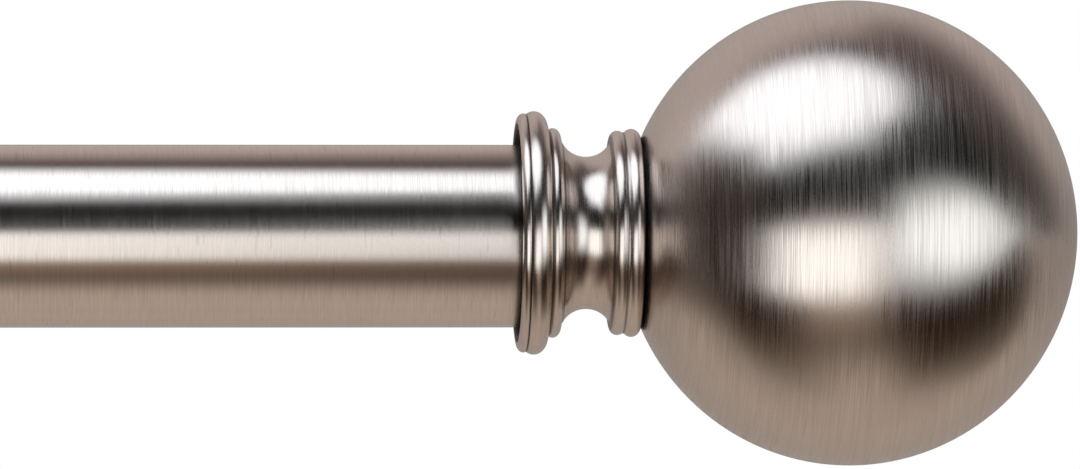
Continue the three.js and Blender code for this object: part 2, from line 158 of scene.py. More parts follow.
def eased(points, ease=0.3, closed=True, steps=3):
    """A profile with each corner rounded; on an open one the first and last points stay."""
    count = len(points)
    made = []
    for i, point in enumerate(points):
        if not closed and i in (0, count - 1):
            made.append(point)
            continue
        corner = Vector(point)
        before = Vector(points[i - 1]) - corner
        after = Vector(points[(i + 1) % count]) - corner
        start = corner + before.normalized() * min(ease, before.length * EASE_LIMIT)
        end = corner + after.normalized() * min(ease, after.length * EASE_LIMIT)
        for k in range(steps + 1):
            t = k / steps
            made.append(tuple(start * (1 - t) ** 2 + corner * 2 * t * (1 - t) + end * t**2))
    return made


def turned(name, profile, place, segments=LARGE, closed=False, wave=None):
    """A profile of (along, radius) turned about X. It is closed on itself, or it ends on the axis.
    wave(along, radius, angle) can change the radius round the piece, for flutes and threads."""
    mesh_data = bmesh.new()
    rows = []
    for along, radius in profile:
        if radius < TINY:
            rows.append([mesh_data.verts.new(place @ Vector((along, 0, 0)))])
            continue
        row = []
        for k in range(segments):
            angle = 2 * math.pi * k / segments
            r = wave(along, radius, angle) if wave else radius
            spot = Vector((along, r * math.cos(angle), r * math.sin(angle)))
            row.append(mesh_data.verts.new(place @ spot))
        rows.append(row)
    pairs = list(zip(rows, rows[1:]))
    if closed:
        pairs.append((rows[-1], rows[0]))
    for row_a, row_b in pairs:
        for k in range(segments):
            corners = [row_a[k % len(row_a)], row_a[(k + 1) % len(row_a)]]
            corners += [row_b[(k + 1) % len(row_b)], row_b[k % len(row_b)]]
            unique = list(dict.fromkeys(corners))
            if len(unique) > 2:
                mesh_data.faces.new(unique)
    return finished(name, mesh_data)


def tube(name, start, end, bore, radius, place, ease=0.25, segments=LARGE, wave=None):
    """A straight tube, washer or ring with eased rims."""
    profile = eased([(start, bore), (start, radius), (end, radius), (end, bore)], ease)
    return turned(name, profile, place, segments, closed=True, wave=wave)


def extruded(name, outline, start, end, place, bevel=0.0):
    """An outline in the local YZ plane, from start to end along X, with its rims bevelled."""
    mesh_data = bmesh.new()
    near = [mesh_data.verts.new((start, y, z)) for y, z in outline]
    far = [mesh_data.verts.new((end, y, z)) for y, z in outline]
    mesh_data.faces.new(near)
    mesh_data.faces.new(far[::-1])
    count = len(outline)
    for k in range(count):
        following = (k + 1) % count
        mesh_data.faces.new((near[k], near[following], far[following], far[k]))
    if bevel:
        rims = [e for e in mesh_data.edges if abs(e.verts[0].co.x - e.verts[1].co.x) < TINY]
        bmesh.ops.bevel(mesh_data, geom=rims, offset=bevel, segments=4, profile=0.5, affect="EDGES")
    mesh_data.transform(place)
    return finished(name, mesh_data)


def worked(made, others, operation="DIFFERENCE"):
    """Cuts other pieces from a piece, or joins them to it; the others are used up."""
    for other in others:
        modifier = made.modifiers.new("work", "BOOLEAN")
        modifier.object = other
        modifier.operation = operation
        modifier.solver = "EXACT"
    bpy.context.view_layer.update()
    shaped = made.evaluated_get(bpy.context.evaluated_depsgraph_get())
    mesh = bpy.data.meshes.new_from_object(shaped)
    made.modifiers.clear()
    made.data = mesh
    for other in others:
        bpy.data.objects.remove(other)
    shade(made)
    return made


# ---------------------------------------------------------------- materials


class Nodes:
    """Short ways to add shader nodes to a tree."""

    def __init__(self, tree):
        self.tree = tree
        tree.nodes.clear()

    def add(self, kind, links=None, **values):
        """A node with its properties set, and its inputs set to values or linked to sockets."""
        node = self.tree.nodes.new(kind)
        for key, value in values.items():
            setattr(node, key, value)
        for socket, source in (links or {}).items():
            self.set(node.inputs[socket], source)
        return node

    def set(self, socket, source):
        """Links an input to a socket, or sets it to a value."""
        if isinstance(source, bpy.types.NodeSocket):
            self.tree.links.new(source, socket)
        else:
            socket.default_value = source

    def math(self, operation, *sources):
        """One step of arithmetic on sockets and values."""
        node = self.add("ShaderNodeMath", operation=operation)
        for socket, source in zip(node.inputs, sources):
            self.set(socket, source)
        return node.outputs[0]

    def two_products(self, a, b, c, d):
        """a times b, plus c times d."""
        return self.math("ADD", self.math("MULTIPLY", a, b), self.math("MULTIPLY", c, d))

    def ramp(self, source, low, high, to_low=0.0, to_high=1.0, smooth=False):
        """Carries low to high over to to_low to to_high, and holds the ends."""
        kind = "SMOOTHSTEP" if smooth else "LINEAR"
        links = {0: source, 1: low, 2: high, 3: to_low, 4: to_high}
        return self.add("ShaderNodeMapRange", links, interpolation_type=kind).outputs[0]

    def mix(self, factor, a, b):
        """Colour a where the factor is 0, and b where it is 1."""
        node = self.add("ShaderNodeMix", data_type="RGBA", blend_type="MIX")
        for index, source in ((0, factor), (6, a), (7, b)):
            self.set(node.inputs[index], source)
        return node.outputs[2]

    def bump(self, height, depth, strength=1.0, normal=None):
        """Relief from a height of 0 to 1, with its depth in millimetres."""
        links = {"Height": height, "Strength": strength, "Distance": depth * MM}
        if normal is not None:
            links["Normal"] = normal
        return self.add("ShaderNodeBump", links).outputs[0]

    def surface(self, links):
        """The shader of a whole material."""
        shader = self.add("ShaderNodeBsdfPrincipled", links)
        self.add("ShaderNodeOutputMaterial", {"Surface": shader.outputs[0]})


def new_material(name):
    """A material and the nodes of its empty tree."""
    material = bpy.data.materials.new(name)
    material.use_nodes = True
    return material, Nodes(material.node_tree)


LEAST_RADIUS = 0.01  # keeps a division by the radius sound on the axis


def cylindrical(nodes, axis, centre):
    """Sockets for the distance along an axis, the distance from it in millimetres, and the two
    parts of the unit vector round it."""
    coordinates = nodes.add("ShaderNodeTexCoord").outputs["Object"]
    moved = nodes.add(
        "ShaderNodeMapping",
        {"Vector": coordinates, "Location": tuple(-c for c in centre), "Scale": (1 / MM,) * 3},
        vector_type="POINT",
    ).outputs[0]
    split = nodes.add("ShaderNodeSeparateXYZ", {0: moved}).outputs
    along, one, two = {"X": (0, 1, 2), "Y": (1, 0, 2), "Z": (2, 0, 1)}[axis]
    squares = nodes.two_products(split[one], split[one], split[two], split[two])
    radius = nodes.math("MAXIMUM", nodes.math("SQRT", squares), LEAST_RADIUS)
    unit_one = nodes.math("DIVIDE", split[one], radius)
    unit_two = nodes.math("DIVIDE", split[two], radius)
    return split[along], radius, unit_one, unit_two


def streaks(nodes, place, per_mm, round_about, detail=2.0, seed=0.0):
    """Noise in fine lines that run round the axis: per_mm lines across, long round it."""
    along, radius, one, two = place
    vector = nodes.add(
        "ShaderNodeCombineXYZ",
        {
            0: nodes.math("MULTIPLY_ADD", along, per_mm, seed),
            1: nodes.math("MULTIPLY", radius, per_mm),
            2: nodes.math("MULTIPLY", one, round_about),
        },
    ).outputs[0]
    fourth = nodes.math("MULTIPLY", two, round_about)
    noise = nodes.add(
        "ShaderNodeTexNoise",
        {"Vector": vector, "W": fourth, "Scale": 1.0, "Detail": detail, "Roughness": 0.6},
        noise_dimensions="4D",
    )
    return noise.outputs[0]


def grain(nodes, per_mm, detail=2.0):
    """Even noise with about per_mm blotches in a millimetre."""
    coordinates = nodes.add("ShaderNodeTexCoord").outputs["Object"]
    links = {"Vector": coordinates, "Scale": per_mm / MM, "Detail": detail}
    return nodes.add("ShaderNodeTexNoise", links).outputs[0]


LINE_SPAN = (0.38, 0.62)  # the part of a noise's values that each effect answers to
SPECK_SPAN = (0.3, 0.7)
CLOUD_SPAN = (0.35, 0.65)
MARK_SPAN = (0.72, 0.80)

NICKEL_TINT = (0.68, 0.59, 0.535)
NICKEL_SHADE = (0.62, 0.537, 0.485)
NICKEL_AGED = (0.56, 0.47, 0.41)
NICKEL_MARK = (0.36, 0.31, 0.27)
PAINTED_SHADE = (0.03, 0.026, 0.024)  # painted shade, near black, inside the cup and in the seams and grooves
PAINTED_SHADE_ROUGHNESS = 0.6
RIPPLE_DEPTH = 0.008  # the brushed lines, in millimetres
SPECK_DEPTH = 0.004
MARK_DEPTH = 0.25  # the dark marks, next to the brushed lines
LINE_ROUGHNESS = 0.075  # how much rougher and smoother the single lines are
SPECK_ROUGHNESS = 0.02
FINE_SHARE, BROAD_SHARE = 0.86, 0.14  # what makes up the lines
LINE_SHARE, SPECK_SHARE = 0.8, 0.2  # what makes up the tone
AGED_SHARE = 0.08  # the most that the aged and the marked colour cover
MARK_SHARE = 0.2
ACROSS_THE_LINES = 0.25  # in turns from the tangent


def nickel(name, axis, centre, roughness=0.27, brushing=1.0, anisotropy=0.72, polish=1.0,
           painted_shade=None):
    """Brushed nickel plate, brushed round an axis that passes through a centre (in mm). The places
    darkened with painted shade are given by a function of the sockets for the distances along the
    axis and from it."""
    material, nodes = new_material(name)
    place = cylindrical(nodes, axis, centre)
    fine = streaks(nodes, place, per_mm=7.5, round_about=2.6)
    broad = streaks(nodes, place, per_mm=0.9, round_about=1.6, seed=31.0)
    ripple = streaks(nodes, place, per_mm=6.5, round_about=9.0, detail=1.0, seed=53.0)
    scratch = streaks(nodes, place, per_mm=2.4, round_about=4.2, detail=0.0, seed=77.0)
    speck = grain(nodes, per_mm=6.5, detail=1.0)
    cloud = grain(nodes, per_mm=0.05)

    lines = nodes.two_products(fine, FINE_SHARE, broad, BROAD_SHARE)
    dark_marks = nodes.ramp(scratch, *MARK_SPAN)
    worn = nodes.two_products(lines, LINE_SHARE, speck, SPECK_SHARE)
    tone = nodes.ramp(worn, *LINE_SPAN)
    shade_colour = (*(polish * part for part in NICKEL_SHADE), 1)
    tint_colour = (*(polish * part for part in NICKEL_TINT), 1)
    colour = nodes.mix(tone, shade_colour, tint_colour)
    clouded = nodes.ramp(cloud, *CLOUD_SPAN, 0.0, AGED_SHARE)
    aged = nodes.mix(clouded, colour, (*NICKEL_AGED, 1))
    marked = nodes.mix(nodes.math("MULTIPLY", dark_marks, MARK_SHARE), aged, (*NICKEL_MARK, 1))

    spread = LINE_ROUGHNESS * brushing
    rough = nodes.math(
        "ADD",
        nodes.ramp(lines, *LINE_SPAN, roughness + spread, roughness - spread),
        nodes.ramp(speck, *SPECK_SPAN, -SPECK_ROUGHNESS, SPECK_ROUGHNESS),
    )
    # painted shade: the colour goes to near black and the surface rougher where the given function
    # is 1
    if painted_shade:
        painted_shade_mask = painted_shade(nodes, place[0], place[1])
        marked = nodes.mix(painted_shade_mask, marked, (*PAINTED_SHADE, 1))
        least = nodes.math("MULTIPLY", painted_shade_mask, PAINTED_SHADE_ROUGHNESS)
        rough = nodes.math("MAXIMUM", rough, least)
    line_height = nodes.math("SUBTRACT", ripple, nodes.math("MULTIPLY", dark_marks, MARK_DEPTH))
    line_bump = nodes.bump(line_height, RIPPLE_DEPTH * brushing)
    bump = nodes.bump(speck, SPECK_DEPTH * brushing, normal=line_bump)
    tangent = nodes.add("ShaderNodeTangent", direction_type="RADIAL", axis=axis)
    nodes.surface(
        {
            "Base Color": marked,
            "Metallic": 1.0,
            "Roughness": rough,
            "Anisotropic": anisotropy,
            "Anisotropic Rotation": ACROSS_THE_LINES,
            "Normal": bump,
            "Tangent": tangent.outputs[0],
        }
    )
    return material


def plain_metal(name, light, dark, roughness, per_mm=1.1):
    """A plated or turned metal with a fine uneven surface."""
    material, nodes = new_material(name)
    patches = grain(nodes, per_mm * 0.25, detail=3.0)
    speck = grain(nodes, per_mm * 3)
    colour = nodes.mix(nodes.ramp(patches, *CLOUD_SPAN), (*dark, 1), (*light, 1))
    rough = nodes.ramp(speck, *SPECK_SPAN, roughness - 0.05, roughness + 0.07)
    bump = nodes.bump(speck, 0.02, strength=0.4)
    nodes.surface({"Base Color": colour, "Metallic": 1.0, "Roughness": rough, "Normal": bump})
    return material


def plastic(name, light, dark, roughness):
    """Moulded plastic with a faint mottle and a fine eggshell surface."""
    material, nodes = new_material(name)
    mottle = grain(nodes, 0.4, detail=3.0)
    shell = grain(nodes, 5.0, detail=1.0)
    colour = nodes.mix(nodes.ramp(mottle, *CLOUD_SPAN), (*dark, 1), (*light, 1))
    rough = nodes.ramp(shell, *SPECK_SPAN, roughness - 0.05, roughness + 0.08)
    bump = nodes.bump(shell, 0.03, strength=0.35)
    nodes.surface(
        {
            "Base Color": colour,
            "Roughness": rough,
            "Subsurface Weight": 0.15,
            "Subsurface Scale": 0.002,
            "Normal": bump,
        }
    )
    return material


# Where painted shade darkens the neck, on the finial's own scale.
LIP_EDGE_R = (15.4, 15.2)  # the painted shade starts at the first radius and is full at the second
SEAM_EDGE_X = (17.25, 17.45)
GROOVES = (1.67, 4.68, 6.6, 13.36, 15.2)  # between the neck's beads
GROOVE_EDGE = (0.05, 0.25)  # it is full this near a groove's middle, and ends this far from it
# the strength of the painted shade in the grooves
GROOVE_SHADE_STRENGTH = 0.65


def neck_painted_shade(nodes, along, radius):
    """Painted shade: the inside of the cup from its lip inwards, the seam against the ball, and the
    grooves.
    """
    out = nodes.math("SUBTRACT", nodes.math("ABSOLUTE", along), RIM_X)
    in_cup = nodes.math("LESS_THAN", out, CUP_DEPTH + 0.2)
    within_lip = nodes.ramp(radius, *LIP_EDGE_R)
    in_seam = nodes.ramp(out, *SEAM_EDGE_X)
    painted_shade = nodes.math("MAXIMUM", nodes.math("MULTIPLY", in_cup, within_lip), in_seam)
    for groove in GROOVES:
        away = nodes.math("ABSOLUTE", nodes.math("SUBTRACT", out, groove))
        in_groove = nodes.ramp(away, *GROOVE_EDGE, GROOVE_SHADE_STRENGTH, 0.0)
        painted_shade = nodes.math("MAXIMUM", painted_shade, in_groove)
    return painted_shade


rod_line = (0, ROD_Y, 0)
finial_line = (0, ROD_Y, FINIAL_Z)
nickel_tube = nickel("nickel_tube", "X", rod_line, roughness=0.21, brushing=0.4, anisotropy=0.7,
                     polish=1.08)
nickel_finial = nickel("nickel_finial", "X", finial_line, roughness=0.265, brushing=1.15,
                       anisotropy=0.58)
nickel_neck = nickel("nickel_neck", "X", finial_line, roughness=0.25, brushing=0.6,
                     anisotropy=0.55, painted_shade=neck_painted_shade)
nickel_cradle = nickel("nickel_cradle", "X", rod_line, roughness=0.26, anisotropy=0.4)
zinc = plain_metal("zinc_steel", (0.64, 0.65, 0.66), (0.50, 0.51, 0.53), 0.33)
brass = plain_metal("brass", (0.70, 0.55, 0.27), (0.56, 0.42, 0.19), 0.30)
nylon = plastic("nylon", (0.80, 0.78, 0.73), (0.72, 0.70, 0.65), 0.45)
anchor_plastic = plastic("anchor_plastic", (0.48, 0.50, 0.52), (0.42, 0.44, 0.46), 0.5)


def set_piece(made, material, body, slot, *nodes):
    """Gives a piece its material and body, and hides the CAD nodes that it stands for. The slot is
    not used.
    """
    made.data.materials.clear()
    made.data.materials.append(material)
    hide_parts(*nodes)
    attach(made, body)
    return made


def nickel_piece(made, material, body, node):
    """The same for a piece in one of the nickel finishes."""
    return set_piece(made, material, body, "brushed_nickel", node)


# ---------------------------------------------------------------- rod

M8_PITCH = 1.25
M8_THREAD_DEPTH = 0.55
SEAM_ANGLE = math.radians(-60)  # the tubes' welded seam is turned to the wall and down
SEAM_HALF_WIDTH = math.radians(1.3)
SEAM_DEPTH = 0.07
SKIN = 0.05  # how near a tube's radius its outside is


def thread(pitch, depth, start, end):
    """A screw thread between two places along a piece, cut into its outside."""

    def wave(along, radius, angle):
        if not start <= along <= end:
            return radius
        runout = min(1.0, (along - start) / pitch, (end - along) / pitch)
        phase = (along / pitch - angle / (2 * math.pi)) % 1.0
        return radius - depth * runout * abs(2 * phase - 1)

    return wave


def seam(tube_radius):
    """The faint groove of the welded seam, on the outside only."""

    def wave(along, radius, angle):
        if radius < tube_radius - SKIN:
            return radius
        near = abs((angle - SEAM_ANGLE + math.pi) % (2 * math.pi) - math.pi)
        return radius - (SEAM_DEPTH if near < SEAM_HALF_WIDTH else 0.0)

    return wave


def mouth_bush():
    """The collar in the outer tube's mouth: a lip over the tube's rim and a sleeve inside it."""
    bore = INNER_R + 0.15
    lip = OUTER_LEFT - 1.3
    shoulder = OUTER_LEFT - GAP
    sleeve_end = OUTER_LEFT + 14
    sleeve_r = TUBE_BORE - GAP
    profile = eased(
        [
            (lip, bore),
            (lip, TUBE_R),
            (shoulder, TUBE_R),
            (shoulder, sleeve_r),
            (sleeve_end, sleeve_r),
            (sleeve_end, bore),
        ],
        ease=0.45,
    )
    return turned("mouth_bush_nylon", profile, ALONG_ROD, MEDIUM, closed=True)


def glide():
    """The ring on the inner tube's hidden end: a plug inside the tube and a collar past it."""
    bore = 7.5
    plug_start = INNER_RIGHT - 12
    plug_r = INNER_BORE - GAP
    collar_start = INNER_RIGHT + GAP
    collar_end = INNER_RIGHT + 2.4
    collar_r = TUBE_BORE - 0.15
    profile = eased(
        [
            (plug_start, bore),
            (plug_start, plug_r),
            (collar_start, plug_r),
            (collar_start, collar_r),
            (collar_end, collar_r),
            (collar_end, bore),
        ],
        ease=0.5,
    )
    return turned("inner_tube_glide_nylon", profile, ALONG_ROD, MEDIUM, closed=True)


def end_plug(side, tube_bore, end_place):
    """A plug with a tapered tip in the tube's end, and a flange over the tube's rim."""
    bore = 6.7
    tip = -18
    plug_r = tube_bore - GAP
    flange_r = TUBE_R - 0.3
    face = 0.9
    profile = eased(
        [
            (tip, bore),
            (tip, tube_bore - 1),
            (tip + 2, plug_r),
            (GAP, plug_r),
            (GAP, flange_r),
            (face, flange_r),
            (face, bore),
        ],
        ease=0.3,
    )
    return turned(f"{side}_end_plug_nylon", profile, end_place, MEDIUM, closed=True)


def make_rod():
    """Both tubes and what is fixed in their ends."""
    outer = tube("outer_tube_brushed", OUTER_LEFT, OUTER_RIGHT, TUBE_BORE, TUBE_R, ALONG_ROD,
                 ease=0.22, wave=seam(TUBE_R))
    inner = tube("inner_tube_brushed", INNER_LEFT, INNER_RIGHT, INNER_BORE, INNER_R, ALONG_ROD,
                 ease=0.22, wave=seam(INNER_R))
    nickel_piece(outer, nickel_tube, "outer_rod", "outer_tube")
    nickel_piece(inner, nickel_tube, "inner_rod", "inner_tube")
    set_piece(mouth_bush(), nylon, "outer_rod", "nylon", "mouth_bush")
    set_piece(glide(), nylon, "inner_rod", "nylon", "inner_tube_glide")

    ends = {
        "right": ("outer_rod", TUBE_BORE, OUTER_RIGHT),
        "left": ("inner_rod", INNER_BORE, INNER_LEFT),
    }
    for side, (body, bore, end) in ends.items():
        end_place = towards((SIDES[side], 0, 0), end, ROD_Y, 0)
        insert_place = towards((SIDES[side], 0, 0), end, ROD_Y, FINIAL_Z)
        set_piece(end_plug(side, bore, end_place), nylon, body, "nylon", f"{side}_end_plug")
        insert = tube(f"{side}_thread_insert_brass", start=-12, end=0.8, bore=STUD_BORE,
                      radius=6.1, place=insert_place, ease=0.35, segments=SMALL)
        set_piece(insert, brass, body, "brass", f"{side}_thread_insert")
        if side == "left":
            ring = tube("left_reducer_ring_turned", start=-6, end=0, bore=INNER_R + GAP,
                        radius=TUBE_R, place=end_place, ease=0.5)
            nickel_piece(ring, nickel_tube, body, "left_reducer_ring")


# ---------------------------------------------------------------- finials


def neck_profile():
    """The neck from the cup's lip to the ball, and back inside to the bottom of the cup."""
    return [
        (LIP_X + 0.5, CUP_R),
        (LIP_X + 0.15, 14.45),
        *arc(LIP_X + 0.9, 15.55, 0.9, 1.08, 200, 74, 14),  # the lip, a small bead
        (1.67, 16.44),
        *arc(2.8, 14.85, 1.82, 2.08, 126, 8, 18),  # the main bead
        (4.63, 14.75),
        (4.72, 14.35),
        *arc(5.4, 13.38, 1.05, 1.2, 122, -12, 14),  # the fillet
        (6.55, 12.75),
        *arc(10.08, 14.12, 3.7, 3.53, 207, 333, 30),  # the cove
        *arc(14.42, 13.2, 1.06, 1.02, 178, 55, 12),  # the first end bead
        (15.2, 13.98),
        *arc(16.36, 13.15, 1.24, 1.33, 138, 8, 16),  # the second end bead
        (NECK_END + 0.2, 12.6),
        (NECK_END, 12.2),
        (NECK_END, STUD_BORE),
        (NUT_POCKET_END, STUD_BORE),
        (NUT_POCKET_END, NUT_POCKET_R),
        (CUP_DEPTH, NUT_POCKET_R),
        (CUP_DEPTH, CUP_R),
    ]


def ball_profile():
    """The hollow ball: its inside back to the hole for the stud, then its outside."""
    outer_start = math.degrees(math.acos((BALL_X - SEAT_X) / BALL_HALF_LENGTH))
    inner_length = BALL_HALF_LENGTH - BALL_WALL
    inner_height = BALL_R - BALL_WALL
    inner_seat = SEAT_X + BALL_WALL
    inner_start = math.degrees(math.acos((BALL_X - inner_seat) / inner_length))
    inner = arc(BALL_X, 0, inner_length, inner_height, 0, 180 - inner_start, steps=40)
    outer = arc(BALL_X, 0, BALL_HALF_LENGTH, BALL_R, 180 - outer_start, 0, steps=150)
    inner[0] = (inner[0][0], 0)
    outer[-1] = (outer[-1][0], 0)
    return [*inner, (inner_seat, STUD_HOLE), (SEAT_X, STUD_HOLE), *outer]


def stud(side, place):
    """The threaded stud, bevelled at both ends."""
    start = -8.2
    end = SEAT_X + 12
    bevel = 0.8
    steps = int((end - start) / (M8_PITCH / 6))
    profile = [
        (start, 0),
        (start, STUD_R - bevel),
        *straight(start + bevel, end - bevel, STUD_R, steps),
        (end, STUD_R - bevel),
        (end, 0),
    ]
    wave = thread(M8_PITCH, M8_THREAD_DEPTH, start + bevel, end - bevel)
    return turned(f"{side}_finial_stud_threaded", profile, place, SMALL, wave=wave)


def hexagon_nut(name, start, end, radius, bore, place):
    """A nut whose six corners are chamfered."""
    prism = eased(rod_profile(start, end, radius), ease=0.05, closed=False)
    blank = turned(f"{name}_blank", prism, place, HEXAGON)
    low_r, high_r = radius * 0.86, radius * 1.01
    before, after = start - 0.01, end + 0.01
    rounded = [(before, 0), (before, low_r), (start + 0.7, high_r), (end - 0.7, high_r),
               (after, low_r), (after, 0)]
    chamfer = turned(f"{name}_chamfer", rounded, place, SMALL)
    hole = turned(f"{name}_hole", rod_profile(start - 1, end + 1, bore), place, SMALL)
    worked(blank, [chamfer], "INTERSECT")
    worked(blank, [hole])
    blank.name = name
    return blank


def ball_boss(side, place):
    """The threaded boss inside the ball, with a flange against the shell."""
    start = SEAT_X + BALL_WALL + 0.3
    flange_end = start + 2
    flange_r = 10
    hub_end = start + 12
    hub_r = 7.5
    profile = eased(
        [
            (start, STUD_BORE),
            (start, flange_r),
            (flange_end, flange_r),
            (flange_end, hub_r),
            (hub_end, hub_r),
            (hub_end, STUD_BORE),
        ],
        ease=0.3,
    )
    return turned(f"{side}_ball_boss_turned", profile, place, SMALL, closed=True)


def make_finial(side):
    """A neck, a ball, and the stud, nut, boss and washer that hold them to the tube."""
    sign = SIDES[side]
    body = f"{side}_finial"
    place = towards((sign, 0, 0), sign * RIM_X, ROD_Y, FINIAL_Z)
    neck = turned(f"{side}_finial_neck_turned", neck_profile(), place, LARGE, closed=True)
    ball = turned(f"{side}_finial_ball_spun", ball_profile(), place, 2 * LARGE)
    nickel_piece(neck, nickel_neck, body, f"{side}_finial_neck")
    nickel_piece(ball, nickel_finial, body, f"{side}_finial_ball")
    set_piece(ball_boss(side, place), zinc, body, "zinc_steel", f"{side}_ball_boss")
    set_piece(stud(side, place), zinc, body, "zinc_steel", f"{side}_finial_stud")
    nut = hexagon_nut(f"{side}_finial_nut_hexagon", start=4.3, end=8.3, radius=7.4,
                      bore=STUD_BORE, place=place)
    set_piece(nut, zinc, body, "zinc_steel", f"{side}_finial_nut")
    washer = tube(f"{side}_finial_washer_nylon", start=3.0, end=3.7, bore=STUD_HOLE,
                  radius=11.5, place=place, ease=0.2, segments=MEDIUM)
    set_piece(washer, nylon, f"{side}_washer", "nylon", f"{side}_finial_washer")


# ---------------------------------------------------------------- brackets

PLATE_THICK = 3
PLATE_R = 24
SCREW_CIRCLE_R = 18
SCREW_ANGLES = {"top": 0, "lower_right": 120, "lower_left": 240}
ARM_BACK = 16
ARM_FRONT = 72.1
CRADLE_R = 13.1
CRADLE_OUTER_R = 16.1
CRADLE_HALF_WIDTH = 8
CRADLE_BACK = PROJECTION - CRADLE_OUTER_R
FLUTES = 24
FLUTE_DEPTH = 0.38


def cross_recess(name, face, place, depth=1.7, reach=2.5, width=0.75):
    """The cutters for a cross-shaped driver recess in a screw head whose face is at face."""
    bars = []
    for k, (wide, high) in enumerate(((reach, width / 2), (width / 2, reach))):
        corners = [(-wide, -high), (wide, -high), (wide, high), (-wide, high)]
        bars.append(extruded(f"{name}_bar_{k}", corners, face - depth, face + 1, place))
    return bars


def wall_plate(side, place, circle_places):
    """A pressed plate that touches the wall at its hub and rim, with a socket for the sleeve
    and three countersunk holes."""
    relief = 0.5
    hub_r = 12
    rim_r = 22.7
    socket_r = 10.5
    socket_end = 9
    bore = SLEEVE_R + GAP
    profile = eased(
        [
            (0, 0),
            (0, hub_r),
            (relief, hub_r),
            (relief, rim_r),
            (0, rim_r),
            (0, PLATE_R),
            (PLATE_THICK, PLATE_R),
            (PLATE_THICK, socket_r),
            (socket_end, socket_r),
            (socket_end, bore),
            (PLATE_THICK, bore),
            (PLATE_THICK, 0),
        ],
        ease=0.35,
        closed=False,
    )
    plate = turned(f"{side}_wall_plate_pressed", profile, place, MEDIUM)
    hole_r = 2.3
    sink_r = 4.7
    sink = [(-1, 0), (-1, hole_r), (0.6, hole_r), (PLATE_THICK + 0.01, sink_r),
            (PLATE_THICK + 1, sink_r), (PLATE_THICK + 1, 0)]
    sinks = [
        turned(f"{side}_sink_{at}", sink, circle_place, SMALL)
        for at, circle_place in circle_places.items()
    ]
    return worked(plate, sinks)


def wall_screw(name, place):
    """A countersunk screw with a pointed tip."""
    face = PLATE_THICK - 0.1
    tip = -30
    tip_length = 4
    shank_r = 1.9
    point = [(tip + tip_length * t, shank_r * t) for t in (0.1, 0.3, 0.55, 0.8)]
    shank = straight(tip + tip_length, face - 2.2, shank_r, steps=96)
    profile = [(tip, 0), *point, *shank, (face - 0.12, 4.2), (face, 4.1), (face, 0)]
    wave = thread(pitch=1.6, depth=0.6, start=tip + 0.5, end=face - 4)
    screw = turned(name, profile, place, SMALL, wave=wave)
    return worked(screw, cross_recess(name, face, place))


def wall_anchor(name, place):
    """A ribbed plastic plug: barbs along it, and a plain collar at the wall's face."""
    bore = 2.2
    barb_pitch = 3
    barbs = []
    for k in range(8):
        x = -26 + barb_pitch * k
        barbs += [(x, 2.75 + 0.02 * k), (x + 0.3, 3.25), (x + 2.6, 2.8)]
    profile = [(-28, bore), (-28, 2.5), *barbs, (-1.6, 3.2), (-0.4, 3.3), (-0.3, 3.1), (-0.3, bore)]
    return turned(name, profile, place, SMALL, closed=True)


def wall_cover(side, place):
    """A beaded rim, a long cove and a beaded mouth round the sleeve."""
    mouth_r = SLEEVE_R + 0.35
    mouth_back = 11.2
    profile = [
        (0.3, 26.6),
        (0.3, 28.0),
        *round_arc(2.2, 28.4, 1.9, 168, 12, 20),  # the rim's bead
        (4.25, 28.2),
        (4.3, 27.7),
        *round_arc(5.1, 26.8, 0.95, 130, 20, 10),  # the fillet
        *arc(13.3, 27.2, 7.3, 14.6, 184, 258, 26),  # the cove
        (11.9, 12.9),
        *arc(13.6, 11.9, 1.6, 1.5, 150, 8, 16),  # the mouth's bead
        (15.28, 11.6),
        (15.3, 8.0),
        (15.0, mouth_r),
        (mouth_back, mouth_r),
        (mouth_back, 11.4),
        *arc(12.6, 27.4, 9, 16.4, 262, 190, 14),  # the inside of the cove
    ]
    return turned(f"{side}_wall_cover_spun", profile, place, LARGE, closed=True)


def arm_sleeve(side, place, lock_place):
    """A sleeve that ends in a thick collar, with a hole up into it for the lock screw."""
    bore = ARM_R + 0.3
    back = 3.3
    edge = 0.2
    collar_r = 8.4
    corner = 1
    profile = [
        (back + edge, bore),
        (back, bore + edge),
        (back, SLEEVE_R - edge),
        (back + edge, SLEEVE_R),
        (42.4, SLEEVE_R),
        *round_arc(42.6, 7.6, 0.6, 270, 360, 4),
        *round_arc(44.2, collar_r, corner, 180, 90, 8),
        *round_arc(51, collar_r, corner, 90, 0, 8),
        (52, bore + 0.5),
        (51.5, bore),
    ]
    sleeve = turned(f"{side}_arm_sleeve_turned", profile, place, MEDIUM, closed=True)
    hole = turned(f"{side}_lock_hole", rod_profile(-12, -3, radius=2.2), lock_place, SMALL)
    return worked(sleeve, [hole])


def arm_bar(side, place):
    """A bar that widens to a flange against the cradle, with a blind hole for the bolt."""
    flange_r = 8.5
    bore = 2.7
    bore_end = ARM_FRONT - 14
    profile = eased(
        [
            (ARM_BACK, 0),
            (ARM_BACK, ARM_R),
            (67.1, ARM_R),
            (68.3, 6.6),
            (68.5, flange_r),
            (ARM_FRONT, flange_r),
            (ARM_FRONT, bore),
            (bore_end, bore),
            (bore_end, 0),
        ],
        ease=0.6,
        closed=False,
        steps=5,
    )
    return turned(f"{side}_arm_bar_turned", profile, place, MEDIUM)


def cradle_outline():
    """The open-topped U that the tube lies in, its high side to the wall; (y, z) from the axis."""
    back_top, front_top = 15, 7
    half_wall = (CRADLE_OUTER_R - CRADLE_R) / 2
    middle = CRADLE_R + half_wall
    return [
        *round_arc(0, 0, CRADLE_OUTER_R, 180, 360, 72),
        *round_arc(middle, back_top, half_wall, 0, 180, 14),
        *round_arc(0, 0, CRADLE_R, 360, 180, 72),
        *round_arc(-middle, front_top, half_wall, 0, 180, 14),
    ]


